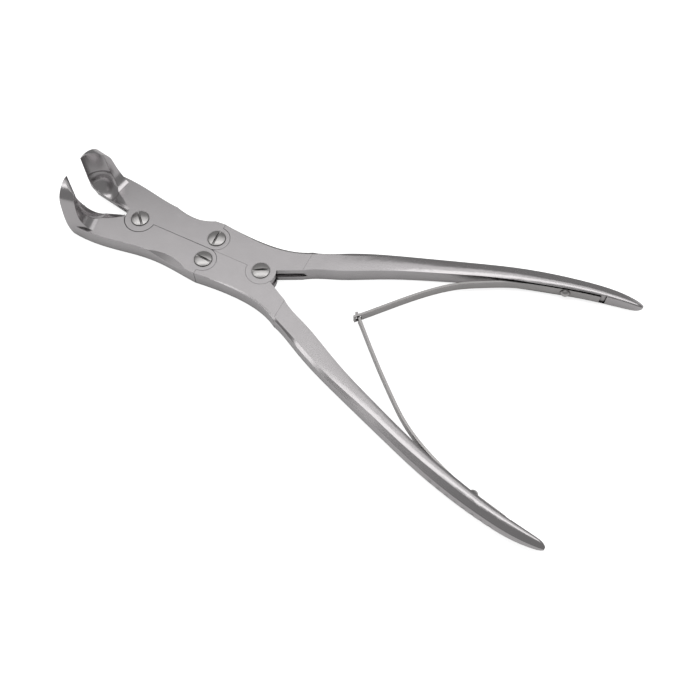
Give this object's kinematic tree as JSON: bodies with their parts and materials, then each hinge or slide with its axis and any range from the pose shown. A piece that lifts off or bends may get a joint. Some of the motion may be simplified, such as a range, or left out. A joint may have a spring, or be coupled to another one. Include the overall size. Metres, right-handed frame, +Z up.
{
  "type": "double-action bone cutting forceps",
  "caption": "Double-action surgical forceps with upturned hollow-ground cutting blades, compound lap-jointed levers, slotted pivot screws and interlocking leaf springs between the handles.",
  "frame": {"origin": "handle pivot axis, on the underside plane on which the forceps lies", "axes": "+X from the jaws towards the handle ends, +Y towards the right-hand levers as seen with the jaws pointing away and the screw heads up, +Z up along the pivot axes"},
  "size_m": [0.2448, 0.1218, 0.0284],
  "materials": {
    "satin_steel": "satin-brushed stainless steel",
    "polished_steel": "turned and polished stainless steel",
    "spring_steel": "drawn and ground stainless spring steel"
  },
  "bodies": {
    "left_handle_body": {"left_handle": "satin_steel", "left_spring_screw": "polished_steel"},
    "right_handle_body": {"right_handle": "satin_steel", "handle_pivot_screw": "polished_steel", "right_spring_screw": "polished_steel"},
    "left_jaw_body": {"left_jaw": "satin_steel", "left_link_screw": "polished_steel"},
    "right_jaw_body": {"right_jaw": "satin_steel", "right_link_screw": "polished_steel", "jaw_pivot_screw": "polished_steel"},
    "left_spring_body": {"left_leaf_spring": "spring_steel"},
    "right_spring_body": {"right_leaf_spring": "spring_steel"}
  },
  "joints": [
    {"name": "handle_pivot", "type": "hinge", "parent": "left_handle_body", "child": "right_handle_body", "pos_m": [0, 0, 0.004], "axis": [0, 0, -1], "range_deg": [0, 28.6], "stiffness_Nm_per_rad": 3, "springref_deg": -8.59},
    {"name": "right_link", "type": "hinge", "parent": "right_handle_body", "child": "right_jaw_body", "pos_m": [-0.02535, 0.00589, 0.004], "axis": [0, 0, 1], "range_deg": [0, 24.3]},
    {"name": "left_link", "type": "hinge", "parent": "left_handle_body", "child": "left_jaw_body", "pos_m": [-0.02535, -0.00589, 0.004], "axis": [0, 0, -1], "range_deg": [0, 24.3]},
    {"name": "right_leaf_bend", "type": "hinge", "parent": "right_handle_body", "child": "right_spring_body", "pos_m": [0.088, 0.0388, 0.004], "axis": [0, 0, -1], "range_deg": [0, 12.8], "deforming": ["right_leaf_spring"]},
    {"name": "left_leaf_bend", "type": "hinge", "parent": "left_handle_body", "child": "left_spring_body", "pos_m": [0.088, -0.0369, 0.004], "axis": [0, 0, 1], "range_deg": [0, 12.8], "deforming": ["left_leaf_spring"]}
  ],
  "couplings": [
    {"joint": "right_link", "follows": "handle_pivot", "ratio": 0.847},
    {"joint": "left_link", "follows": "handle_pivot", "ratio": 0.847},
    {"joint": "right_leaf_bend", "follows": "handle_pivot", "ratio": 0.4476},
    {"joint": "left_leaf_bend", "follows": "handle_pivot", "ratio": 0.4476}
  ]
}
